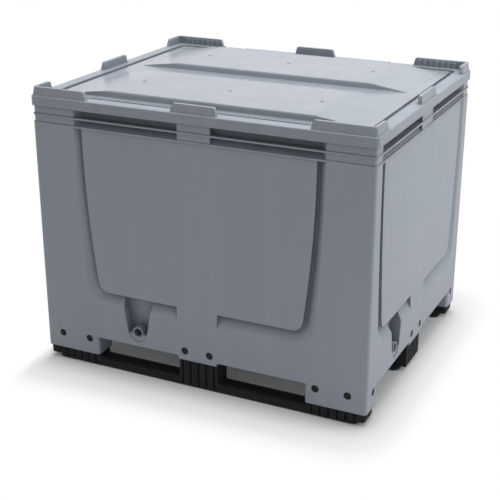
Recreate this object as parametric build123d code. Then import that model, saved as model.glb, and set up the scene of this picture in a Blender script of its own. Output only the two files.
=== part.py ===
"""Rigid plastic bulk container: one-piece tub, loose lid with stacking lugs and three push-in runners.

Millimetres, +Z up, X along the long side, front wall towards -Y.
The origin is on the ground, in the middle of the footprint.
"""
import os

from build123d import *

# Tub, overall
LENGTH = 1200
WIDTH = 1000
TUB_TOP = 947
CORNER_R = 12
UNDERSIDE_Z = 114
FLOOR_TOP = 147
FLOOR_SKIN = 6

# Tub, inside
WALL_TOP = 34
WALL_FOOT = 52
CAVITY_R = 34

# Rim band under the lid: two thin ribs with grip slots between them
RIM_INSET = 3
RIM_RIB = 5.5
LOWER_RIB_DROP = 83
UPPER_RIB_DROP = 55
TOP_FLANGE = 7
SLOT_INNER = 58
SLOT_DEPTH = 29
SLOT_LIP_DEPTH = 6

# Wall relief: a raised shield panel with a ramped groove round it
SHORT_WALL_COLUMN = 56
PANEL_DEPTH = 4
PANEL_TAPER = 41
PANEL_FOOT_Z = 290
PANEL_CORNER_R = 38
GROOVE_DEPTH = 24
GROOVE_FLOOR = 4
GROOVE_WIDTH = 31
GROOVE_FOOT_WIDTH = 40
GROOVE_FOOT_Z = 240
GROOVE_CORNER_R = 65
GROOVE_EDGE_R = 10
BRIDGE_HALF = 75

# Drain in the left foot of the groove on every wall
DRAIN_OFFSET = 228
DRAIN_Z = 164
DRAIN_BORE_R = 15.5
DRAIN_SEAT_R = 10.5
DRAIN_SEAT_DEPTH = 38
SPOUT_WALL = 4.5
SPOUT_FACE_DEPTH = 2
POCKET_DEPTH = 40
POCKET_HALF_TOP = 58
POCKET_HALF_FOOT = 36
POCKET_FOOT_DROP = 6
CHIN_R = 34
CHIN_DEPTH = 3
PLUG_LENGTH = 18
PLUG_PLAY = 0.3
PLUG_SIDES = 28
PLUG_DISH_HALF = 8
PLUG_DISH_DEPTH = 6
PLUG_GRIP = 4
SEAL_THICK = 4

# Foot skirts and sockets of the tub
SKIRT_FOOT_Z = 46
SKIRT_WALL = 6
CORNER_SKIRT_X = 212
CORNER_SKIRT_Y = 90
MID_SKIRT_HALF = 72
MID_SKIRT_FOOT_Z = 102
CORNER_SOCKET_TOP = 128
MID_SOCKET_TOP = 158
MID_SOCKET_DEPTH = 40
SOCKET_PLAY = 1.5
UNDER_RIB = 6
UNDER_RIM = 98
UNDER_COLUMNS = 6
UNDER_ROWS = 5

# Runners
RUNNER_INSET = 10
RUNNER_WIDTH = 95
RUNNER_TOP = 30
RUNNER_CREST = 43
RUNNER_TOE = 6
RUNNER_END_INSET = 32
RUNNER_CORNER_R = 24
MID_RUNNER_HALF = 88
MID_CREST_HALF = 40
BLOCK_DEPTH = 72
BLOCK_END_Z = 14
BLOCK_FLARE = 14
RIB_PITCH = 29.5
RIB_GAP = 7
RIB_GAP_DEPTH = 13
CORNER_GAPS_LONG = 6
CORNER_GAPS_SHORT = 3

# Locking pins
PIN_CORNER_Z = 102.5
PIN_MID_Z = 135
PIN_CORNER_OUT = 64.5
PIN_CORNER_IN = 175
PIN_SHORT_OUT = 58.5
PIN_MID = 46
PIN_HEAD_R = 13
PIN_SIDES = 16
PIN_SHANK = 14
PIN_SHANK_WEB = 5
PIN_LENGTH = 34
PIN_SUNK = 3
PIN_PLAY = 0.2

# Lid
LID_PROUD = 4
LID_CORNER_R = 18
LID_SKIRT = 4
LID_SKIRT_DROP = 28
LID_PLATE = 5
LID_EDGE = 3
LID_PAN_DROP = 2
LID_GROOVE_FROM = 44
LID_GROOVE_WIDTH = 16
LID_GROOVE_DROP = 10
LID_WEB = 4
PAD_RISE = 20
PAD_INNER_Y = 70
PAD_SIDE_MARGIN = 95
PAD_END_MARGIN = 90
PAD_RAMP = 150
PAD_STEEP_RUN = 6
PAD_EDGE_R = 8
LUG_HEIGHT = 28
LUG_INSET = 5
LUG_LEAN = 4
LUG_WALL = 11
LUG_CORNER_X = 208
LUG_CORNER_Y = 98
LUG_MID_HALF = 80
LUG_DRAFT = 8
LUG_TOP_R = 7
LUG_RIB = 15
LUG_RIB_PITCH = 22
LUG_RIB_DEPTH = 2.5
LUG_RIB_DROP = 7
NOTCH_GAP = 4
NOTCH_LENGTH = 92
NOTCH_DROP = 3

# Worked out from the above
LOWER_RIB_TOP = TUB_TOP - LOWER_RIB_DROP
UPPER_RIB_TOP = TUB_TOP - UPPER_RIB_DROP
PANEL_TOP_Z = LOWER_RIB_TOP - RIM_RIB
GROOVE_HALF_TOP = WIDTH / 2 - SHORT_WALL_COLUMN
PANEL_HALF_TOP = GROOVE_HALF_TOP - GROOVE_WIDTH
PANEL_HALF_FOOT = PANEL_HALF_TOP - PANEL_TAPER
GROOVE_HALF_FOOT = PANEL_HALF_FOOT + GROOVE_FOOT_WIDTH
RIM_CORNER_R = LID_CORNER_R - LID_SKIRT - RIM_INSET
PAD_OUTER_Y = WIDTH / 2 - PAD_SIDE_MARGIN
PAD_TOP_HALF_X = LENGTH / 2 - PAD_END_MARGIN - PAD_RAMP
BLOCK_FACE = SKIRT_WALL + SOCKET_PLAY
PLUG_R = DRAIN_BORE_R - PLUG_PLAY
PLUG_INNER = DRAIN_SEAT_DEPTH - SEAL_THICK
PLUG_OUTER = PLUG_INNER - PLUG_LENGTH

# Where each wall stands: turn about Z and distance of its outer plane from the middle
WALLS = {
    "front": (0, WIDTH / 2),
    "right": (90, LENGTH / 2),
    "rear": (180, WIDTH / 2),
    "left": (270, LENGTH / 2),
}


def on_wall(name):
    """Place of a wall: X runs to the right seen from outside, Y goes inwards, Z is up."""
    turn, reach = WALLS[name]
    return Rot(0, 0, turn) * Pos(0, -reach, 0)


def block_between(x0, x1, y0, y1, z0, z1):
    """A box given by its limits."""
    return Pos((x0 + x1) / 2, (y0 + y1) / 2, (z0 + z1) / 2) * Box(x1 - x0, y1 - y0, z1 - z0)


def rounded_slab(length, width, radius, z0, z1):
    """A plate with rounded vertical edges between two heights."""
    return Pos(0, 0, z0) * extrude(RectangleRounded(length, width, radius), z1 - z0)


def leaning_block(length, width, z0, z1):
    """A block with four flat leaning sides; length and width are each given at the foot and at the top."""
    def outline(foot, top):
        corners = [(-foot / 2, z0), (foot / 2, z0), (top / 2, z1), (-top / 2, z1)]
        return make_face(Polyline(*corners, close=True))

    lengthwise = extrude(Plane.XZ * outline(*length), max(width) / 2, both=True)
    crosswise = extrude(Plane.YZ * outline(*width), max(length) / 2, both=True)
    return lengthwise & crosswise


def round_corners(block, radius):
    """Round the four corner edges of a block, those that run along neither X nor Y."""
    edges = block.edges()
    return fillet(edges - edges.filter_by(Axis.X) - edges.filter_by(Axis.Y), radius)


def shield(half_top, half_foot, z_top, z_foot, radius, depth):
    """A panel outline, upright at the top and curving in to rounded lower corners, at a depth in a wall."""
    right = TangentArc((half_top, z_top), (half_foot, z_foot), tangent=(0, -1))
    left = TangentArc((-half_top, z_top), (-half_foot, z_foot), tangent=(0, -1))
    top = Line((-half_top, z_top), (half_top, z_top))
    foot = Line((half_foot, z_foot), (-half_foot, z_foot))
    face = make_face([top, right, foot, left])
    low = face.vertices().sort_by(Axis.Y)[:2]
    return Plane.XZ.offset(-depth) * fillet(low, radius)


def inward(face, amount):
    """Push an outline that lies in a wall further into the wall."""
    return extrude(face, amount, dir=(0, 1, 0))


def wall_tube(radius, depth0, depth1, x, z):
    """A cylinder square to a wall between two depths."""
    length = depth1 - depth0
    return Pos(x, depth0 + length / 2, z) * Rot(90, 0, 0) * Cylinder(radius, length)


def wall_prism(radius, sides, depth0, depth1, x, z):
    """A many-sided prism square to a wall between two depths: a round piece made of few faces."""
    outline = RegularPolygon(radius, sides)
    return Pos(x, depth0, z) * inward(Plane.XZ * outline, depth1 - depth0)


def wall_relief():
    """What is taken off a flat wall for the ramped groove, as if its panel were not there."""
    outer = shield(GROOVE_HALF_TOP, GROOVE_HALF_FOOT, PANEL_TOP_Z, GROOVE_FOOT_Z, GROOVE_CORNER_R, 0)
    deep = shield(
        PANEL_HALF_TOP + GROOVE_FLOOR, PANEL_HALF_FOOT + GROOVE_FLOOR, PANEL_TOP_Z,
        PANEL_FOOT_Z - GROOVE_FLOOR, PANEL_CORNER_R + GROOVE_FLOOR, GROOVE_DEPTH,
    )
    return loft([outer, deep], ruled=True)


def wall_panel():
    """What stands in the groove: the shield panel and the bridge that runs down from its foot."""
    panel = shield(PANEL_HALF_TOP, PANEL_HALF_FOOT, PANEL_TOP_Z, PANEL_FOOT_Z, PANEL_CORNER_R, PANEL_DEPTH)
    bridge_side = make_face(Polyline(
        (0, GROOVE_FOOT_Z - GROOVE_EDGE_R), (PANEL_DEPTH, PANEL_FOOT_Z), (GROOVE_DEPTH, PANEL_FOOT_Z),
        (GROOVE_DEPTH, GROOVE_FOOT_Z - GROOVE_EDGE_R), close=True,
    ))
    bridge = extrude(Plane.YZ * bridge_side, BRIDGE_HALF, both=True)
    return inward(panel, GROOVE_DEPTH - PANEL_DEPTH) + bridge


def groove_edges(tub, wall):
    """The edges where a wall's outer face turns into its groove: all of that outline but its top."""
    outward = Axis((0, 0, 0), on_wall(wall).position)
    face = tub.faces().group_by(outward)[-1].sort_by(SortBy.AREA)[-1]
    return face.inner_wires()[0].edges().sort_by(Axis.Z)[:-1]


def rim_slots():
    """The grip slots above and below the upper rim rib, left and right of the middle bridge."""
    plan = make_face(Polyline(
        (SLOT_INNER, 0), (GROOVE_HALF_TOP, 0), (PANEL_HALF_TOP + GROOVE_FLOOR, SLOT_DEPTH),
        (SLOT_INNER, SLOT_DEPTH), close=True,
    ))
    side = make_face(Polyline(
        (0, LOWER_RIB_TOP), (SLOT_LIP_DEPTH, LOWER_RIB_TOP), (SLOT_DEPTH, UPPER_RIB_TOP - RIM_RIB),
        (0, UPPER_RIB_TOP - RIM_RIB), close=True,
    ))
    upper = Pos(0, 0, UPPER_RIB_TOP) * extrude(plan, TUB_TOP - TOP_FLANGE - UPPER_RIB_TOP)
    lower = Pos(0, 0, LOWER_RIB_TOP) * extrude(plan, UPPER_RIB_TOP - RIM_RIB - LOWER_RIB_TOP)
    lower &= extrude(Plane.YZ * side, GROOVE_HALF_TOP)
    one_side = [upper, lower]
    return one_side + [mirror(piece, Plane.YZ) for piece in one_side]


def drain_pocket():
    """The funnel-shaped recess above a drain spout, and the shallow round one that the spout stands in."""
    foot = DRAIN_Z - POCKET_FOOT_DROP
    funnel = make_face(Polyline(
        (-POCKET_HALF_TOP, PANEL_FOOT_Z), (POCKET_HALF_TOP, PANEL_FOOT_Z),
        (POCKET_HALF_FOOT, foot), (-POCKET_HALF_FOOT, foot), close=True,
    ))
    pocket = Pos(-DRAIN_OFFSET, 0, 0) * inward(Plane.XZ * funnel, POCKET_DEPTH)
    return [pocket, wall_tube(CHIN_R, 0, CHIN_DEPTH, -DRAIN_OFFSET, DRAIN_Z)]


def pin_places():
    """Every locking pin: its group, its wall, and where it stands on that wall."""
    places = []
    for wall, (left, right) in {
        "front": ("front_left", "front_right"), "right": ("front_right", "rear_right"),
        "rear": ("rear_right", "rear_left"), "left": ("rear_left", "front_left"),
    }.items():
        long_wall = wall in ("front", "rear")
        half = (LENGTH if long_wall else WIDTH) / 2
        insets = (PIN_CORNER_OUT, PIN_CORNER_IN) if long_wall else (PIN_SHORT_OUT,)
        for inset in insets:
            places.append((left, wall, inset - half, PIN_CORNER_Z))
            places.append((right, wall, half - inset, PIN_CORNER_Z))
        for x in (-PIN_MID, PIN_MID):
            places.append((wall + "_middle", wall, x, PIN_MID_Z))
    return places


def corner_boxes(inset, z0, z1, radius):
    """Four upright blocks on the corner footprints, drawn in by an inset."""
    size_x = CORNER_SKIRT_X - 2 * inset
    size_y = CORNER_SKIRT_Y - 2 * inset
    x = (LENGTH - CORNER_SKIRT_X) / 2
    y = (WIDTH - CORNER_SKIRT_Y) / 2
    block = extrude(RectangleRounded(size_x, size_y, radius), z1 - z0)
    return [Pos(sx * x, sy * y, z0) * block for sx in (-1, 1) for sy in (-1, 1)]


def make_tub():
    """The tub moulding: walls, ribbed floor, rim, drains and the sockets that take the runners."""
    rim_length = LENGTH - 2 * RIM_INSET
    rim_width = WIDTH - 2 * RIM_INSET
    mid_skirt = block_between(
        -MID_SKIRT_HALF, MID_SKIRT_HALF, 0, MID_SOCKET_DEPTH + 2 * SKIRT_WALL, MID_SKIRT_FOOT_Z, UNDERSIDE_Z
    )
    tub = rounded_slab(LENGTH, WIDTH, CORNER_R, UNDERSIDE_Z, LOWER_RIB_TOP)
    tub += rounded_slab(rim_length, rim_width, RIM_CORNER_R, LOWER_RIB_TOP, TUB_TOP)
    tub += rounded_slab(LENGTH, WIDTH, CORNER_R, UPPER_RIB_TOP - RIM_RIB, UPPER_RIB_TOP)
    tub += corner_boxes(0, SKIRT_FOOT_Z, UNDERSIDE_Z, CORNER_R)
    tub += [on_wall(wall) * mid_skirt for wall in WALLS]

    cavity = leaning_block(
        (LENGTH - 2 * WALL_FOOT, LENGTH - 2 * WALL_TOP), (WIDTH - 2 * WALL_FOOT, WIDTH - 2 * WALL_TOP),
        FLOOR_TOP, TUB_TOP,
    )
    mouth = cavity.faces().sort_by(Axis.Z)[-1]
    tub -= fillet(cavity.edges() - mouth.edges(), CAVITY_R)

    mid_socket = block_between(
        SKIRT_WALL - MID_SKIRT_HALF, MID_SKIRT_HALF - SKIRT_WALL, SKIRT_WALL, SKIRT_WALL + MID_SOCKET_DEPTH,
        MID_SKIRT_FOOT_Z, MID_SOCKET_TOP,
    )
    tub -= [on_wall(wall) * wall_relief() for wall in WALLS]
    tub = fillet([edge for wall in WALLS for edge in groove_edges(tub, wall)], GROOVE_EDGE_R)
    tub += [on_wall(wall) * wall_panel() for wall in WALLS]
    wall_cuts = [mid_socket] + drain_pocket() + rim_slots()
    spout_r = DRAIN_BORE_R + SPOUT_WALL
    spout = wall_tube(spout_r, SPOUT_FACE_DEPTH, POCKET_DEPTH + SPOUT_WALL, -DRAIN_OFFSET, DRAIN_Z)
    outlet = [
        wall_tube(DRAIN_BORE_R, SPOUT_FACE_DEPTH, DRAIN_SEAT_DEPTH, -DRAIN_OFFSET, DRAIN_Z),
        wall_tube(DRAIN_SEAT_R, DRAIN_SEAT_DEPTH, WALL_FOOT + CAVITY_R, -DRAIN_OFFSET, DRAIN_Z),
    ]
    tub -= [on_wall(wall) * cut for wall in WALLS for cut in wall_cuts]
    tub += [on_wall(wall) * spout for wall in WALLS]
    tub -= [on_wall(wall) * cut for wall in WALLS for cut in outlet]
    tub -= corner_boxes(SKIRT_WALL, SKIRT_FOOT_Z, CORNER_SOCKET_TOP, CORNER_R - SKIRT_WALL)
    tub -= [
        on_wall(wall) * wall_prism(PIN_HEAD_R + PIN_PLAY, PIN_SIDES, 0, SKIRT_WALL, x, z)
        for _, wall, x, z in pin_places()
    ]

    cell_x = (LENGTH - 2 * UNDER_RIM) / UNDER_COLUMNS
    cell_y = (WIDTH - 2 * UNDER_RIM) / UNDER_ROWS
    cell = extrude(Rectangle(cell_x - UNDER_RIB, cell_y - UNDER_RIB), FLOOR_TOP - FLOOR_SKIN - UNDERSIDE_Z)
    grid = GridLocations(cell_x, cell_y, UNDER_COLUMNS, UNDER_ROWS)
    tub -= [Pos(0, 0, UNDERSIDE_Z) * place * cell for place in grid]
    return tub


def upright_gaps(wall, places, z_top):
    """Upright gaps between the ribs on the outer face of runner blocks under a wall."""
    gap = block_between(
        -RIB_GAP / 2, RIB_GAP / 2, BLOCK_FACE, BLOCK_FACE + RIB_GAP_DEPTH, RUNNER_TOE, z_top
    )
    return [on_wall(wall) * Pos(x, 0, 0) * gap for x in places]


def flares(x0, x1, y0, y1):
    """Concave roots where the two sides of a block run into the sole below."""
    face = make_face([
        Line((0, 0), (BLOCK_FLARE, 0)),
        RadiusArc((BLOCK_FLARE, 0), (0, BLOCK_FLARE), BLOCK_FLARE),
        Line((0, BLOCK_FLARE), (0, 0)),
    ])
    root = extrude(Plane.XZ * face, y1 - y0, dir=(0, 1, 0))
    return [Pos(x1, y0, RUNNER_TOP) * root, Pos(x0, y0, RUNNER_TOP) * mirror(root, Plane.YZ)]


def make_sole(section, width, middle_y):
    """A runner's sole: its cross section drawn out along X, with rounded corners in plan."""
    length = LENGTH - 2 * RUNNER_END_INSET
    bar = extrude(Plane.YZ * make_face(section), length / 2, both=True)
    plan = Pos(0, middle_y, 0) * extrude(RectangleRounded(length, width, RUNNER_CORNER_R), RUNNER_TOP)
    return bar & plan


def middle_block(wall):
    """A block under the middle of a wall: a wide foot below the skirt and a spigot in its socket."""
    half = MID_SKIRT_HALF - SOCKET_PLAY
    spigot = MID_SKIRT_HALF - SKIRT_WALL - SOCKET_PLAY
    back = SKIRT_WALL + MID_SOCKET_DEPTH - SOCKET_PLAY
    block = block_between(-half, half, BLOCK_FACE, BLOCK_FACE + BLOCK_DEPTH, BLOCK_END_Z, MID_SKIRT_FOOT_Z)
    block += block_between(-spigot, spigot, BLOCK_FACE, back, MID_SKIRT_FOOT_Z, MID_SOCKET_TOP)
    return on_wall(wall) * block


def middle_gaps(wall):
    """The rib gaps of a middle block, clear of its two pins."""
    long_wall = wall in ("front", "rear")
    first, count = (-2, 5) if long_wall else (-1.5, 4)
    return upright_gaps(wall, [(first + k) * RIB_PITCH for k in range(count)], MID_SOCKET_TOP)


def pin_bores(walls):
    """Blind square bores for the pins of some walls, from the face of the runner blocks inwards."""
    half = PIN_SHANK / 2 + PIN_PLAY
    bore = block_between(-half, half, BLOCK_FACE, PIN_SUNK + PIN_LENGTH, -half, half)
    return [
        on_wall(wall) * Pos(x, 0, z) * bore for _, wall, x, z in pin_places() if wall in walls
    ]


def make_front_runner():
    """The front runner: a ramped sole with a ribbed block under each corner and one in the middle."""
    front = -WIDTH / 2 + RUNNER_INSET
    back = front + RUNNER_WIDTH
    section = Polyline(
        (front, 0), (front, RUNNER_TOP), (front + RUNNER_CREST, RUNNER_TOP), (back, RUNNER_TOE), (back, 0),
        close=True,
    )
    sole = make_sole(section, RUNNER_WIDTH, (front + back) / 2)
    corner_r = CORNER_R - BLOCK_FACE
    corners = corner_boxes(BLOCK_FACE, BLOCK_END_Z, CORNER_SOCKET_TOP, corner_r)
    corners = [block for block in corners if block.center().Y < 0]
    block_front = -WIDTH / 2 + BLOCK_FACE
    corner_inner = LENGTH / 2 - CORNER_SKIRT_X + BLOCK_FACE
    mid_half = MID_SKIRT_HALF - SOCKET_PLAY
    roots = flares(-mid_half, mid_half, block_front, front + RUNNER_CREST)
    roots += flares(corner_inner, -corner_inner, block_front + corner_r, front + RUNNER_CREST)
    runner = sole + corners + roots + middle_block("front")

    pin_x = LENGTH / 2 - PIN_CORNER_IN
    front_gaps = [pin_x + (k - 0.5) * RIB_PITCH for k in range(CORNER_GAPS_LONG)]
    pin_y = WIDTH / 2 - PIN_SHORT_OUT
    side_gaps = [pin_y + (k - 0.5) * RIB_PITCH for k in range(CORNER_GAPS_SHORT)]
    runner -= upright_gaps("front", front_gaps + [-x for x in front_gaps], CORNER_SOCKET_TOP)
    runner -= upright_gaps("right", [-y for y in side_gaps], CORNER_SOCKET_TOP)
    runner -= upright_gaps("left", side_gaps, CORNER_SOCKET_TOP)
    runner -= middle_gaps("front")
    front_bores = pin_bores(("front",))
    side_bores = [bore for bore in pin_bores(("left", "right")) if bore.center().Y < -WIDTH / 4]
    return runner - front_bores - side_bores


def make_centre_runner():
    """The middle runner: a sole ramped on both sides, a ribbed block at each end and one in the centre."""
    half = MID_RUNNER_HALF
    section = Polyline(
        (-half, 0), (-half, RUNNER_TOE), (-MID_CREST_HALF, RUNNER_TOP), (MID_CREST_HALF, RUNNER_TOP),
        (half, RUNNER_TOE), (half, 0), close=True,
    )
    sole = make_sole(section, 2 * half, 0)
    mid_half = MID_SKIRT_HALF - SOCKET_PLAY
    post = block_between(-mid_half, mid_half, -mid_half, mid_half, BLOCK_END_Z, UNDERSIDE_Z)
    end_inner = LENGTH / 2 - BLOCK_FACE - BLOCK_DEPTH
    roots = flares(-mid_half, mid_half, -MID_CREST_HALF, MID_CREST_HALF)
    roots += flares(end_inner, -end_inner, -MID_CREST_HALF, MID_CREST_HALF)
    runner = sole + post + roots + middle_block("left") + middle_block("right")
    runner -= middle_gaps("left") + middle_gaps("right")
    return runner - [bore for bore in pin_bores(("left", "right")) if abs(bore.center().Y) < WIDTH / 4]


def make_pin():
    """A push-in locking pin, standing in a wall's own place: a sunk head on a cross-shaped shank."""
    half = PIN_SHANK / 2
    web = PIN_SHANK_WEB / 2
    tip = PIN_SUNK + PIN_LENGTH
    head = wall_prism(PIN_HEAD_R, PIN_SIDES, PIN_SUNK, BLOCK_FACE, 0, 0)
    upright = block_between(-web, web, BLOCK_FACE, tip, -half, half)
    across = block_between(-half, half, BLOCK_FACE, tip, -web, web)
    return head + upright + across


def make_plug():
    """A drain plug in a wall's own place: a stopper with a finger bar left between two pockets."""
    body = wall_prism(PLUG_R, PLUG_SIDES, PLUG_OUTER, PLUG_INNER, 0, 0)
    pocket = block_between(
        -PLUG_DISH_HALF, PLUG_DISH_HALF, PLUG_OUTER, PLUG_OUTER + PLUG_DISH_DEPTH,
        PLUG_GRIP / 2, PLUG_DISH_HALF,
    )
    return Pos(-DRAIN_OFFSET, 0, DRAIN_Z) * (body - pocket - mirror(pocket, Plane.XY))


def make_seal():
    """The sealing disc on a plug's inner end, which closes against the shoulder in the outlet."""
    return wall_prism(PLUG_R, PLUG_SIDES, PLUG_INNER, DRAIN_SEAT_DEPTH, -DRAIN_OFFSET, DRAIN_Z)


def lid_slab(inset, z0, z1, corner_r=LID_CORNER_R):
    """A plate that follows the lid's outline, drawn in by an inset; its corners shrink with the inset."""
    reach = 2 * (LID_PROUD - inset)
    return rounded_slab(LENGTH + reach, WIDTH + reach, corner_r - inset, z0, z1)


def pan_slab(inset, z0, z1):
    """The same for the part of the lid that drops into the tub's mouth, with its wider corners."""
    return lid_slab(inset, z0, z1, CAVITY_R + WALL_TOP + LID_PROUD)


def lid_pad(z_foot, inset):
    """A raised pad with steep long sides, drawn in by an inset, and long ramps at its ends."""
    length = 2 * PAD_TOP_HALF_X
    width = PAD_OUTER_Y - PAD_INNER_Y - 2 * inset
    pad = leaning_block(
        (length + 2 * PAD_RAMP, length), (width + 2 * PAD_STEEP_RUN, width), z_foot, z_foot + PAD_RISE
    )
    return Pos(0, (PAD_INNER_Y + PAD_OUTER_Y) / 2, 0) * pad


def lug_ring(z0):
    """The leaning wall that all stacking lugs are cut from, running once round the lid."""
    foot = 2 * (LID_PROUD - LUG_INSET)
    top = foot - 2 * LUG_LEAN
    inner = top - 2 * LUG_WALL
    wall = leaning_block((LENGTH + foot, LENGTH + top), (WIDTH + foot, WIDTH + top), z0, z0 + LUG_HEIGHT)
    inside = extrude(Rectangle(LENGTH + inner, WIDTH + inner), LUG_HEIGHT)
    return round_corners(wall, LID_CORNER_R - LUG_INSET) - Pos(0, 0, z0) * inside


def side_sizes(wall):
    """Half the lid's reach along a side, and the length of the corner lugs' legs there."""
    long_wall = wall in ("front", "rear")
    half = (LENGTH if long_wall else WIDTH) / 2 + LID_PROUD - LUG_INSET
    return half, LUG_CORNER_X if long_wall else LUG_CORNER_Y


def lug_blocks(wall, z0):
    """Blocks along one side of the lid that hold the side's two corner legs and its middle lug."""
    half, leg = side_sizes(wall)
    corner = make_face(Polyline(
        (half - leg, 0), (half, 0), (half, LUG_HEIGHT), (half - leg + LUG_DRAFT, LUG_HEIGHT), close=True
    ))
    corner = fillet(corner.vertices().group_by(Axis.Y)[-1].sort_by(Axis.X)[0], LUG_TOP_R)
    middle = make_face(Polyline(
        (-LUG_MID_HALF, 0), (LUG_MID_HALF, 0), (LUG_MID_HALF - LUG_DRAFT, LUG_HEIGHT),
        (LUG_DRAFT - LUG_MID_HALF, LUG_HEIGHT), close=True,
    ))
    middle = fillet(middle.vertices().group_by(Axis.Y)[-1], LUG_TOP_R)
    reach = LUG_INSET + LUG_LEAN + LUG_WALL
    blocks = [inward(Pos(0, -LID_PROUD, z0) * (Plane.XZ * face), reach) for face in (corner, middle)]
    return blocks + [mirror(blocks[0], Plane.YZ)]


def lug_ribs(wall, z0):
    """The flat upright ribs on the inner face of the two corner lugs along one side of the lid."""
    half, leg = side_sizes(wall)
    root = LUG_INSET + LUG_LEAN + LUG_WALL - LID_PROUD
    rib = block_between(
        -LUG_RIB / 2, LUG_RIB / 2, root, root + LUG_RIB_DEPTH, z0, z0 + LUG_HEIGHT - LUG_RIB_DROP
    )
    first = half - leg + LUG_DRAFT + LUG_RIB
    count = round(leg / LUG_RIB_PITCH) - 2
    places = [first + k * LUG_RIB_PITCH for k in range(count)]
    return [on_wall(wall) * Pos(x, 0, 0) * rib for x in places + [-x for x in places]]


def rim_notches(z1):
    """The two finger notches in the rear of the lid's rim, beside its corner lugs."""
    half, leg = side_sizes("rear")
    end = half - leg - NOTCH_GAP
    notch = block_between(
        end - NOTCH_LENGTH, end, -LID_PROUD, LID_GROOVE_FROM - LID_PROUD, z1 - NOTCH_DROP, z1
    )
    return [on_wall("rear") * notch, on_wall("rear") * mirror(notch, Plane.YZ)]


def make_lid():
    """The lid moulding: overhanging skirt, rim, channel, sunk pan with two pads, and stacking lugs."""
    rim_top = TUB_TOP + LID_PLATE
    pan_top = rim_top - LID_PAN_DROP
    pan_foot = pan_top - LID_PLATE
    channel_foot = rim_top - LID_GROOVE_DROP
    web_foot = channel_foot - LID_PLATE
    channel_in = LID_GROOVE_FROM + LID_GROOVE_WIDTH
    lid = lid_slab(0, TUB_TOP - LID_SKIRT_DROP, rim_top)
    lid = chamfer(lid.faces().sort_by(Axis.Z)[-1].edges(), LID_EDGE)
    lid -= lid_slab(LID_SKIRT, TUB_TOP - LID_SKIRT_DROP, TUB_TOP)
    lid += pan_slab(LID_GROOVE_FROM - LID_WEB, web_foot, TUB_TOP)
    lid -= pan_slab(channel_in + LID_WEB, web_foot, pan_foot)
    lid -= pan_slab(LID_GROOVE_FROM, channel_foot, rim_top) - pan_slab(channel_in, channel_foot, rim_top)
    lid -= pan_slab(channel_in, pan_top, rim_top)
    pad = lid_pad(pan_top, 0)
    crests = pad.faces().sort_by(Axis.Z)[-1].edges().filter_by(Axis.X)
    pad = fillet(crests, PAD_EDGE_R)
    for turn in (0, 180):
        lid += Rot(0, 0, turn) * pad
        lid -= Rot(0, 0, turn) * lid_pad(pan_foot, LID_WEB)
    lid -= rim_notches(rim_top)
    ring = lug_ring(rim_top)
    for wall in WALLS:
        lid += [ring & on_wall(wall) * block for block in lug_blocks(wall, rim_top)]
    for wall in ("front", "rear"):
        lid += lug_ribs(wall, rim_top)
    return lid


def make_pieces():
    """Every sub-part by its name."""
    front_runner = make_front_runner()
    pieces = {
        "tub": make_tub(),
        "lid": make_lid(),
        "runner_front": front_runner,
        "runner_centre": make_centre_runner(),
        "runner_rear": Rot(0, 0, 180) * front_runner,
    }
    pin = make_pin()
    groups = {}
    for group, wall, x, z in pin_places():
        groups.setdefault("pins_" + group, []).append(on_wall(wall) * Pos(x, 0, z) * pin)
    for name, pins in groups.items():
        pieces[name] = Compound(children=pins)
    for wall in WALLS:
        pieces["drain_plug_" + wall] = on_wall(wall) * make_plug()
        pieces["drain_seal_" + wall] = on_wall(wall) * make_seal()
    return pieces


os.makedirs("parts", exist_ok=True)
for node, shape in make_pieces().items():
    export_step(shape, f"parts/{node}.step")
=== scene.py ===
import math

import bpy
from mathutils import Matrix, Vector


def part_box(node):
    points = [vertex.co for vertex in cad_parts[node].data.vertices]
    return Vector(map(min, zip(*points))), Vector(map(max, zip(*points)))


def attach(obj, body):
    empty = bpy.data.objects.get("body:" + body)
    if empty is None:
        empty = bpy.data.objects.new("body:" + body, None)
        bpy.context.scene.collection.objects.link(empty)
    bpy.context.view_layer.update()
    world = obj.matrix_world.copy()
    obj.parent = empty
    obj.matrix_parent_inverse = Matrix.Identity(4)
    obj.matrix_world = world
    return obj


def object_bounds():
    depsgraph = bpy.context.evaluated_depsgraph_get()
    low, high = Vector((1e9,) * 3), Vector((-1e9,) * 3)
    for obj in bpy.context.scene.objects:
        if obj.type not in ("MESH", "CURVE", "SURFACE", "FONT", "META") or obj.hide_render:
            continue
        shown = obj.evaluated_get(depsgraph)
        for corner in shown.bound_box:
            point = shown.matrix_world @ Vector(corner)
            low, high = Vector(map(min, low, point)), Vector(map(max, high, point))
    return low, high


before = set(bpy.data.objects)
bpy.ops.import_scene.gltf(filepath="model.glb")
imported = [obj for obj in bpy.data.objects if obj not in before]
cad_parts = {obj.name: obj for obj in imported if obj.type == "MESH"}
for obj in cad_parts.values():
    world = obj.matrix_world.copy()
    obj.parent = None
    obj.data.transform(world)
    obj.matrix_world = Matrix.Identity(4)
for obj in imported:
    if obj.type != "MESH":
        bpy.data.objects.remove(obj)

cad_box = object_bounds()

# Runners: three long soles with ribbed blocks, moulded from black reground plastic.
# The blocks push up into sockets in the tub's foot. Their soles scuff on concrete and forks,
# and dust settles in the grooves between their ribs.
runner_nodes = ("runner_front", "runner_centre", "runner_rear")
runner_black = (0.023, 0.0245, 0.0275)
runner_mottle = (0.031, 0.033, 0.036)
runner_scuffed = (0.066, 0.067, 0.070)
runner_dust = (0.110, 0.110, 0.112)
runner_scuff_share = 0.45
runner_dust_share = 0.35
runner_roughness = 0.62
runner_roughness_swing = 0.18
runner_gloss = 0.06
runner_swell_depth = 0.0012
runner_grain_depth = 0.00012


def join(tree, value, socket):
    """Link an input socket to another node's socket, or set it to a number, a triple or a colour."""
    if isinstance(value, bpy.types.NodeSocket):
        tree.links.new(value, socket)
    elif socket.type == "RGBA":
        socket.default_value = (*value, 1.0)
    else:
        socket.default_value = value


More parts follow.
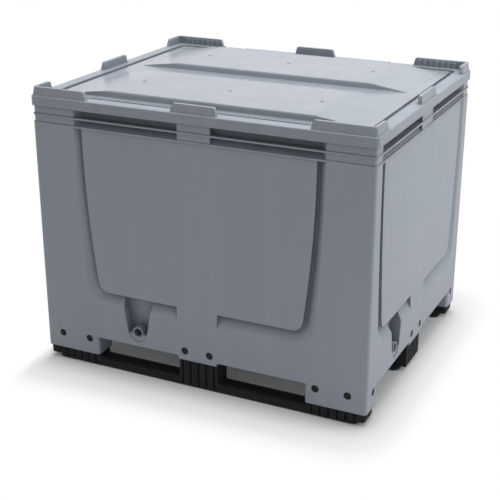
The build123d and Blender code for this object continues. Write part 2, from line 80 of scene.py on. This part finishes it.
def feed(tree, node, **inputs):
    """Join some of a node's inputs, by name with spaces as underscores."""
    for name, value in inputs.items():
        join(tree, value, node.inputs[name.replace("_", " ")])


def add_node(tree, kind, **inputs):
    """A shader node with some of its inputs fed."""
    made = tree.nodes.new(kind)
    feed(tree, made, **inputs)
    return made


def add_noise(tree, scale, stretch=(1.0, 1.0, 1.0), detail=2.0):
    """Noise over the object's own metres, drawn out by a stretch; gives back its value socket."""
    place = add_node(tree, "ShaderNodeTexCoord")
    mapping = add_node(tree, "ShaderNodeMapping", Vector=place.outputs["Object"], Scale=stretch)
    drawn_out = mapping.outputs["Vector"]
    noise = add_node(tree, "ShaderNodeTexNoise", Vector=drawn_out, Scale=scale, Detail=detail)
    return noise.outputs["Fac"]


def new_effect(name, results, **numbers):
    """A shader group with number inputs and some results: Normal is a vector, the others are numbers."""
    effect = bpy.data.node_groups.new(name, "ShaderNodeTree")
    for label, value in numbers.items():
        title = label.replace("_", " ")
        socket = effect.interface.new_socket(title, in_out="INPUT", socket_type="NodeSocketFloat")
        socket.default_value = value
    for label in results:
        kind = "NodeSocketVector" if label == "Normal" else "NodeSocketFloat"
        effect.interface.new_socket(label, in_out="OUTPUT", socket_type=kind)
    return effect, effect.nodes.new("NodeGroupInput"), effect.nodes.new("NodeGroupOutput")


# Moulded grain: the fine spark-eroded texture of a steel mould, with slow unevenness below it.
# Every piece has it, at scales and depths chosen for its size.
moulded_grain, grain_in, grain_out = new_effect(
    "moulded_grain", ("Grain", "Swell"), Grain_Scale=900.0, Swell_Scale=4.0
)
fine_grain = add_noise(moulded_grain, grain_in.outputs["Grain Scale"])
slow_swell = add_noise(moulded_grain, grain_in.outputs["Swell Scale"])
feed(moulded_grain, grain_out, Grain=fine_grain, Swell=slow_swell)


def add_math(tree, operation, first, second=0.5, clamp=False):
    """One arithmetic step between two sockets or numbers; gives back its result socket."""
    made = add_node(tree, "ShaderNodeMath")
    made.operation = operation
    made.use_clamp = clamp
    join(tree, first, made.inputs[0])
    join(tree, second, made.inputs[1])
    return made.outputs["Value"]


def add_vector(tree, operation, first, second=(0.0, 0.0, 0.0)):
    """One vector step between two sockets or triples; gives back its results, Vector and Value."""
    made = add_node(tree, "ShaderNodeVectorMath")
    made.operation = operation
    join(tree, first, made.inputs[0])
    join(tree, second, made.inputs[1])
    return made.outputs


def add_ramp(tree, value, low, high):
    """A smooth step from 0 at low to 1 at high; gives back its result socket."""
    made = add_node(tree, "ShaderNodeMapRange", Value=value, From_Min=low, From_Max=high)
    made.interpolation_type = "SMOOTHSTEP"
    return made.outputs["Result"]


# Worn edges: a normal that rolls over edges, and a broken mask of where handling rubs them.
# The mask lies where the rolled normal departs from the true one.
edge_samples = 6
edge_band = (0.01, 0.12)
edge_break_detail = 4.0
edge_break_band = (0.42, 0.66)
worn_edges, wear_in, wear_out = new_effect(
    "worn_edges", ("Normal", "Edge"), Radius=0.004, Breakup_Scale=60.0
)
rolled = add_node(worn_edges, "ShaderNodeBevel", Radius=wear_in.outputs["Radius"])
rolled.samples = edge_samples
rolled_normal = rolled.outputs["Normal"]
true_normal = add_node(worn_edges, "ShaderNodeNewGeometry").outputs["Normal"]
likeness = add_vector(worn_edges, "DOT_PRODUCT", rolled_normal, true_normal)["Value"]
edge_line = add_ramp(worn_edges, add_math(worn_edges, "SUBTRACT", 1.0, likeness), *edge_band)
edge_noise = add_noise(worn_edges, wear_in.outputs["Breakup Scale"], detail=edge_break_detail)
edge_breaks = add_ramp(worn_edges, edge_noise, *edge_break_band)
broken_edge = add_math(worn_edges, "MULTIPLY", edge_line, edge_breaks)
feed(worn_edges, wear_out, Normal=rolled_normal, Edge=broken_edge)

# Drag marks: short scuffs that lie along the floor, in patches.
# Forks and concrete leave them on the runners.
mark_stretch = (1.0, 1.0, 14.0)
mark_detail = 5.0
mark_band = (0.56, 0.70)
patch_scale = 7.0
patch_band = (0.46, 0.62)
drag_marks, drag_in, drag_out = new_effect("drag_marks", ("Scuff",), Mark_Scale=30.0)
mark_noise = add_noise(drag_marks, drag_in.outputs["Mark Scale"], mark_stretch, mark_detail)
mark_lines = add_ramp(drag_marks, mark_noise, *mark_band)
mark_patches = add_ramp(drag_marks, add_noise(drag_marks, patch_scale), *patch_band)
feed(drag_marks, drag_out, Scuff=add_math(drag_marks, "MULTIPLY", mark_lines, mark_patches))


def add_swing(tree, base, mask, swing):
    """A number that is base where a mask is 0 and base plus swing where it is 1."""
    return add_math(tree, "ADD", base, add_math(tree, "MULTIPLY", mask, swing))


# Recess dust and shade: a mask that grows with the depth of slots and inner corners and lies unevenly.
# The runners use it for dust in their rib grooves, and the grey plastic uses it for painted shade.
recess_samples = 8
recess_band = (0.06, 0.45)
recess_break_scale = 22.0
recess_least = 0.6
recess_swing = 0.6
recess_dust_and_shade, recess_in, recess_out = new_effect("recess_dust_and_shade", ("Film",), Reach=0.03)
openness = add_node(recess_dust_and_shade, "ShaderNodeAmbientOcclusion", Distance=recess_in.outputs["Reach"])
openness.samples = recess_samples
closeness = add_math(recess_dust_and_shade, "SUBTRACT", 1.0, openness.outputs["AO"])
crevice = add_ramp(recess_dust_and_shade, closeness, *recess_band)
unevenness = add_swing(recess_dust_and_shade, recess_least, add_noise(recess_dust_and_shade, recess_break_scale), recess_swing)
feed(recess_dust_and_shade, recess_out, Film=add_math(recess_dust_and_shade, "MULTIPLY", crevice, unevenness, clamp=True))


def new_material(name):
    """A bare material, its node tree and its Principled shader."""
    made = bpy.data.materials.new(name)
    made.use_nodes = True
    return made, made.node_tree, made.node_tree.nodes["Principled BSDF"]


def place_effect(tree, effect, **numbers):
    """One of the shared effects placed in a material with its own values; gives back its outputs."""
    made = add_node(tree, "ShaderNodeGroup")
    made.node_tree = effect
    feed(tree, made, **numbers)
    return made.outputs


def add_mix(tree, share, first, second):
    """A colour that goes from first to second with a share; gives back its result socket."""
    made = add_node(tree, "ShaderNodeMix")
    made.data_type = "RGBA"
    # The node's colour sockets are inputs 6 and 7 and output 2.
    for index, value in ((0, share), (6, first), (7, second)):
        join(tree, value, made.inputs[index])
    return made.outputs[2]


def add_layer(tree, colour, mask, share, layer):
    """A colour with another laid over it by a share of a mask; gives back its result socket."""
    return add_mix(tree, add_math(tree, "MULTIPLY", mask, share), colour, layer)


def add_bump(tree, shader, normal, heights):
    """Bump steps over a starting normal, each a height socket with its depth in metres."""
    for height, depth in heights:
        bump = add_node(tree, "ShaderNodeBump", Strength=1.0, Distance=depth, Height=height, Normal=normal)
        normal = bump.outputs["Normal"]
    feed(tree, shader, Normal=normal)


def dress(node, material):
    """Give a moulded piece its finish."""
    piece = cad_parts[node]
    piece.data.materials.clear()
    piece.data.materials.append(material)


runner_plastic, tree, shader = new_material("runner_plastic")
grain = place_effect(tree, moulded_grain, Grain_Scale=650.0, Swell_Scale=9.0)
wear = place_effect(tree, worn_edges, Radius=0.005, Breakup_Scale=45.0)
scuffs = place_effect(tree, drag_marks, Mark_Scale=26.0)
dust = place_effect(tree, recess_dust_and_shade, Reach=0.010)
faint_scuffs = add_math(tree, "MULTIPLY", scuffs["Scuff"], runner_scuff_share)
worn = add_math(tree, "MAXIMUM", wear["Edge"], faint_scuffs)
colour = add_mix(tree, grain["Swell"], runner_black, runner_mottle)
colour = add_layer(tree, colour, dust["Film"], runner_dust_share, runner_dust)
colour = add_mix(tree, worn, colour, runner_scuffed)
roughness = add_swing(tree, runner_roughness, grain["Swell"], runner_roughness_swing)
feed(tree, shader, Base_Color=colour, Roughness=roughness, Specular_IOR_Level=runner_gloss)
runner_heights = ((grain["Swell"], runner_swell_depth), (grain["Grain"], runner_grain_depth))
add_bump(tree, shader, wear["Normal"], runner_heights)
for node in runner_nodes:
    dress(node, runner_plastic)

# Tub: one large injection moulding in grey polyethylene, with smooth inner walls and outer relief.
# The mould leaves a fine satin grain, faint upright draw streaks and slow sink over the panels.
tub_grey = (0.294, 0.326, 0.376)
tub_swell_depth = 0.0015
grey_streak = (0.328, 0.361, 0.412)
grey_burnished = (0.420, 0.445, 0.480)
# The dark grey below is painted shade, laid into slots, grooves and inner corners by the recess mask.
grey_painted_shade = (0.050, 0.056, 0.066)
grey_streak_share = 0.35
grey_burnish_share = 0.45
grey_painted_shade_share = 0.42
grey_roughness = 0.40
grey_roughness_swing = 0.10
grey_recess_roughness = 0.2
grey_grain_depth = 0.00006

# Draw streaks: faint upright bands that a large mould leaves on its walls.
band_stretch = (1.0, 1.0, 0.06)
band_detail = 4.0
band_edges = (0.35, 0.70)
draw_streaks, streak_in, streak_out = new_effect("draw_streaks", ("Streak",), Band_Scale=16.0)
bands = add_noise(draw_streaks, streak_in.outputs["Band Scale"], band_stretch, band_detail)
feed(draw_streaks, streak_out, Streak=add_ramp(draw_streaks, bands, *band_edges))


def grey_plastic(name, base, swell_depth):
    """The satin grey of the tub and the lid, with streaks, burnished edges and painted shade in the
    recesses.
    """
    made, tree, shader = new_material(name)
    grain = place_effect(tree, moulded_grain, Grain_Scale=800.0, Swell_Scale=3.2)
    wear = place_effect(tree, worn_edges, Radius=0.004, Breakup_Scale=40.0)
    recess_shade = place_effect(tree, recess_dust_and_shade, Reach=0.06)
    streaks = place_effect(tree, draw_streaks, Band_Scale=14.0)
    colour = add_layer(tree, base, streaks["Streak"], grey_streak_share, grey_streak)
    colour = add_layer(tree, colour, wear["Edge"], grey_burnish_share, grey_burnished)
    # Painted shade: slots, grooves and inner corners are darkened towards the dark grey.
    colour = add_layer(tree, colour, recess_shade["Film"], grey_painted_shade_share, grey_painted_shade)
    roughness = add_swing(tree, grey_roughness, grain["Swell"], grey_roughness_swing)
    roughness = add_swing(tree, roughness, recess_shade["Film"], grey_recess_roughness)
    feed(tree, shader, Base_Color=colour, Roughness=roughness)
    heights = ((grain["Swell"], swell_depth), (grain["Grain"], grey_grain_depth))
    add_bump(tree, shader, wear["Normal"], heights)
    return made, tree, shader, roughness


tub_plastic = grey_plastic("tub_plastic", tub_grey, tub_swell_depth)[0]
dress("tub", tub_plastic)

# Locking pins: black nylon push-in pins that hold the runner blocks in the tub's sockets.
# Their heads sit a little below the skirt's face.
pin_groups = (
    "front_left", "front_middle", "front_right", "right_middle",
    "rear_right", "rear_middle", "rear_left", "left_middle",
)
pin_black = (0.010, 0.011, 0.013)
pin_mottle = (0.016, 0.017, 0.020)
pin_roughness = 0.50
pin_roughness_swing = 0.2
pin_gloss = 0.2
pin_grain_depth = 0.00005
pin_nylon, tree, shader = new_material("pin_nylon")
grain = place_effect(tree, moulded_grain, Grain_Scale=1500.0, Swell_Scale=40.0)
wear = place_effect(tree, worn_edges, Radius=0.0012, Breakup_Scale=150.0)
colour = add_mix(tree, grain["Swell"], pin_black, pin_mottle)
roughness = add_swing(tree, pin_roughness, grain["Swell"], pin_roughness_swing)
feed(tree, shader, Base_Color=colour, Roughness=roughness, Specular_IOR_Level=pin_gloss)
add_bump(tree, shader, wear["Normal"], [(grain["Grain"], pin_grain_depth)])
for group in pin_groups:
    dress("pins_" + group, pin_nylon)

# Drain plugs: black moulded stoppers with a finger bar, pushed into the spout of each wall.
# They sit deep in the spout, so the outlet reads as a dark hole.
walls = ("front", "right", "rear", "left")
plug_black = (0.034, 0.038, 0.046)
plug_worn = (0.085, 0.090, 0.100)
plug_roughness = 0.36
plug_roughness_swing = 0.2
plug_grain_depth = 0.00005
plug_plastic, tree, shader = new_material("plug_plastic")
grain = place_effect(tree, moulded_grain, Grain_Scale=1400.0, Swell_Scale=50.0)
wear = place_effect(tree, worn_edges, Radius=0.001, Breakup_Scale=200.0)
colour = add_mix(tree, wear["Edge"], plug_black, plug_worn)
roughness = add_swing(tree, plug_roughness, grain["Swell"], plug_roughness_swing)
feed(tree, shader, Base_Color=colour, Roughness=roughness)
add_bump(tree, shader, wear["Normal"], [(grain["Grain"], plug_grain_depth)])
for wall in walls:
    dress("drain_plug_" + wall, plug_plastic)

# Drain seals: soft discs of black rubber on the inner ends of the plugs, which they move with.
# Rubber blooms with age, so they are dull and a little grey in patches.
seal_black = (0.022, 0.022, 0.022)
seal_bloom = (0.060, 0.060, 0.058)
seal_bloom_band = (0.4, 0.8)
seal_roughness = 0.62
seal_roughness_swing = 0.2
seal_grain_depth = 0.00008
seal_rubber, tree, shader = new_material("seal_rubber")
grain = place_effect(tree, moulded_grain, Grain_Scale=2200.0, Swell_Scale=120.0)
wear = place_effect(tree, worn_edges, Radius=0.001, Breakup_Scale=200.0)
bloom = add_ramp(tree, grain["Swell"], *seal_bloom_band)
colour = add_mix(tree, bloom, seal_black, seal_bloom)
roughness = add_swing(tree, seal_roughness, grain["Swell"], seal_roughness_swing)
feed(tree, shader, Base_Color=colour, Roughness=roughness)
add_bump(tree, shader, wear["Normal"], [(grain["Grain"], seal_grain_depth)])
for wall in walls:
    dress("drain_seal_" + wall, seal_rubber)

# Lid: one grey moulding that lies loose on the rim, with two raised pads and a ring of stacking lugs.
# Its pan and pads come off a polished part of the mould and shine more than the satin rim.
# The lid's grey is the tub's grey made darker, as painted shade that tones down the brightly lit lid.
lid_grey_painted_shade = (0.268, 0.297, 0.342)
lid_swell_depth = 0.003
lid_pan_reach = (0.550, 0.450)
lid_pan_polish = 0.5
lid_plastic, tree, shader, satin = grey_plastic("lid_plastic", lid_grey_painted_shade, lid_swell_depth)
place = add_node(tree, "ShaderNodeTexCoord")
across = add_node(tree, "ShaderNodeSeparateXYZ", Vector=place.outputs["Object"])
inside = [
    add_math(tree, "LESS_THAN", add_math(tree, "ABSOLUTE", across.outputs[axis]), reach)
    for axis, reach in zip("XY", lid_pan_reach)
]
on_pan = add_math(tree, "MULTIPLY", *inside)
polish = add_swing(tree, 1.0, on_pan, -lid_pan_polish)
feed(tree, shader, Roughness=add_math(tree, "MULTIPLY", satin, polish))
dress("lid", lid_plastic)

# Gate marks: the stubs where the grey plastic entered the lid's mould, broken off after moulding.
# Three on each pad are left as dull ringed scars, a little darker than the glossy pad around them.
gate_spacing = 0.322
gate_row = 0.238
gate_places = [(step * gate_spacing, side * gate_row) for side in (-1, 1) for step in (-1, 0, 1)]
gate_profile = ((0.0070, 0.0), (0.0058, 0.0007), (0.0044, 0.0007), (0.0030, 0.0002), (0.0014, 0.0010))
gate_sides = 20
lug_rise = 0.010
pad_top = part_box("lid")[1].z - lug_rise
gate_scar = (0.150, 0.166, 0.190)
gate_torn = (0.205, 0.226, 0.258)
gate_roughness = 0.60
gate_roughness_swing = 0.2
gate_gloss = 0.2
gate_grain_depth = 0.00008
gate_plastic, tree, shader = new_material("gate_plastic")
grain = place_effect(tree, moulded_grain, Grain_Scale=1500.0, Swell_Scale=260.0)
wear = place_effect(tree, worn_edges, Radius=0.0006, Breakup_Scale=300.0)
colour = add_mix(tree, grain["Swell"], gate_scar, gate_torn)
roughness = add_swing(tree, gate_roughness, grain["Swell"], gate_roughness_swing)
feed(tree, shader, Base_Color=colour, Roughness=roughness, Specular_IOR_Level=gate_gloss)
add_bump(tree, shader, wear["Normal"], [(grain["Grain"], gate_grain_depth)])
gate_points = []
gate_faces = []
for x, y in gate_places:
    first = len(gate_points)
    for radius, rise in gate_profile:
        for corner in range(gate_sides):
            turn = 2 * math.pi * corner / gate_sides
            point = (x + radius * math.cos(turn), y + radius * math.sin(turn), pad_top + rise)
            gate_points.append(point)
    for ring in range(len(gate_profile) - 1):
        low = first + ring * gate_sides
        high = low + gate_sides
        for corner in range(gate_sides):
            following = (corner + 1) % gate_sides
            gate_faces.append((low + corner, low + following, high + following, high + corner))
    last = first + (len(gate_profile) - 1) * gate_sides
    gate_faces.append(tuple(range(last, last + gate_sides)))
gate_mesh = bpy.data.meshes.new("lid_gate_marks")
gate_mesh.from_pydata(gate_points, [], gate_faces)
gate_mesh.materials.append(gate_plastic)
gate_marks = bpy.data.objects.new("lid_gate_marks", gate_mesh)
bpy.context.scene.collection.objects.link(gate_marks)
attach(gate_marks, "lid")

# Stage: a plain pale floor that keeps the container's shadow and fades to white around it.
# The fade is a painted glow that only the camera, reflections and glass show, so it adds no other light.
floor_reach = 18.0
floor_white = (0.86, 0.86, 0.86)
floor_roughness = 0.6
floor_gloss = 0.15
# How far the shadow reaches past the footprint before the painted glow covers it: to the left and front,
# and to the right and rear.
footprint_inset = 0.024
footprint = (cad_box[1].x - footprint_inset, cad_box[1].y - footprint_inset, 0.0)
shadow_left_front = (0.07, 0.30)
shadow_right_rear = (0.19, 0.30)
# Painted white glow laid over the floor's shadow: a little under the container, half close by and all past
# the reach.
under_lift = 0.05
shadow_lift = 0.50
near_share = 0.53


def background_rays(tree):
    """1 for the rays that show the background: the camera's, reflected ones and those through glass."""
    rays = add_node(tree, "ShaderNodeLightPath").outputs
    seen = add_math(tree, "MAXIMUM", rays["Is Camera Ray"], rays["Is Glossy Ray"])
    return add_math(tree, "MAXIMUM", seen, rays["Is Transmission Ray"])


floor_signs = ((-1, -1), (1, -1), (1, 1), (-1, 1))
floor_corners = [(x * floor_reach, y * floor_reach, 0.0) for x, y in floor_signs]
floor_mesh = bpy.data.meshes.new("floor")
floor_mesh.from_pydata(floor_corners, [], [(0, 1, 2, 3)])
floor = bpy.data.objects.new("floor", floor_mesh)
bpy.context.scene.collection.objects.link(floor)
floor_paint, tree, shader = new_material("floor_paint")
feed(tree, shader, Base_Color=floor_white, Roughness=floor_roughness, Specular_IOR_Level=floor_gloss)
place = add_node(tree, "ShaderNodeTexCoord")
gaps = []
for side, reach in ((-1.0, shadow_left_front), (1.0, shadow_right_rear)):
    outward = add_vector(tree, "MULTIPLY", place.outputs["Object"], (side, side, 0.0))["Vector"]
    beyond = add_vector(tree, "SUBTRACT", outward, footprint)["Vector"]
    clear = add_vector(tree, "MAXIMUM", beyond)["Vector"]
    gaps.append(add_vector(tree, "DIVIDE", clear, (*reach, 1.0))["Vector"])
gap = add_vector(tree, "LENGTH", add_vector(tree, "ADD", *gaps)["Vector"])["Value"]
near_lift = add_swing(tree, under_lift, add_ramp(tree, gap, 0.0, near_share), shadow_lift)
lift = add_math(tree, "MAXIMUM", near_lift, add_ramp(tree, gap, 0.0, 1.0))
fade = add_math(tree, "MULTIPLY", lift, background_rays(tree))
glow = add_node(tree, "ShaderNodeEmission", Strength=1.0)
blend = add_node(tree, "ShaderNodeMixShader")
for socket, value in zip(blend.inputs, (fade, shader.outputs["BSDF"], glow.outputs["Emission"])):
    join(tree, value, socket)
feed(tree, tree.nodes["Material Output"], Surface=blend.outputs["Shader"])
floor_mesh.materials.append(floor_paint)

# Studio: a white surround, as of a room with white walls, that the camera and the gloss see.
# It lights the container with a dimmer glow, as fill light.
surround_white = (1.0, 1.0, 1.0)
surround_glow = 0.32
world = bpy.data.worlds.new("studio")
world.use_nodes = True
bpy.context.scene.world = world
tree = world.node_tree
strength = add_node(tree, "ShaderNodeMapRange", Value=background_rays(tree), To_Min=surround_glow)
feed(tree, tree.nodes["Background"], Color=surround_white, Strength=strength.outputs["Result"])

# Softboxes: square lamps behind white cloth, a wide one overhead and a smaller one at the right.
# The lid is lit most, then the right wall, and the front wall least.


def add_softbox(name, place, aim, size, power):
    """A square area lamp that faces a point of the container."""
    lamp = bpy.data.lights.new(name, "AREA")
    lamp.size = size
    lamp.energy = power
    held = bpy.data.objects.new(name, lamp)
    held.location = place
    held.rotation_euler = (Vector(aim) - Vector(place)).to_track_quat("-Z", "Y").to_euler()
    bpy.context.scene.collection.objects.link(held)


add_softbox("softbox_top", place=(0.1, 0.2, 3.4), aim=(0.0, 0.0, 0.5), size=3.0, power=96.0)
add_softbox("softbox_right", place=(2.4, 0.4, 1.5), aim=(0.6, 0.0, 0.8), size=1.2, power=17.0)

# Camera: a long lens at eye height, looking down on the front and the right wall.
# Its place, turn and tilt are those that come nearest to the photo without a shift.
camera_place = (1.571, -3.388, 1.806)
camera_yaw = math.radians(25.46)
camera_pitch = math.radians(21.59)
camera_lens = 79.2
camera_sensor = 36.0
camera = bpy.data.objects.new("camera", bpy.data.cameras.new("camera"))
camera.data.lens = camera_lens
camera.data.sensor_width = camera_sensor
camera.matrix_world = (
    Matrix.Translation(camera_place)
    @ Matrix.Rotation(camera_yaw, 4, "Z")
    @ Matrix.Rotation(math.pi / 2 - camera_pitch, 4, "X")
)
bpy.context.scene.collection.objects.link(camera)
bpy.context.scene.camera = camera
bpy.context.scene.view_settings.view_transform = "Standard"
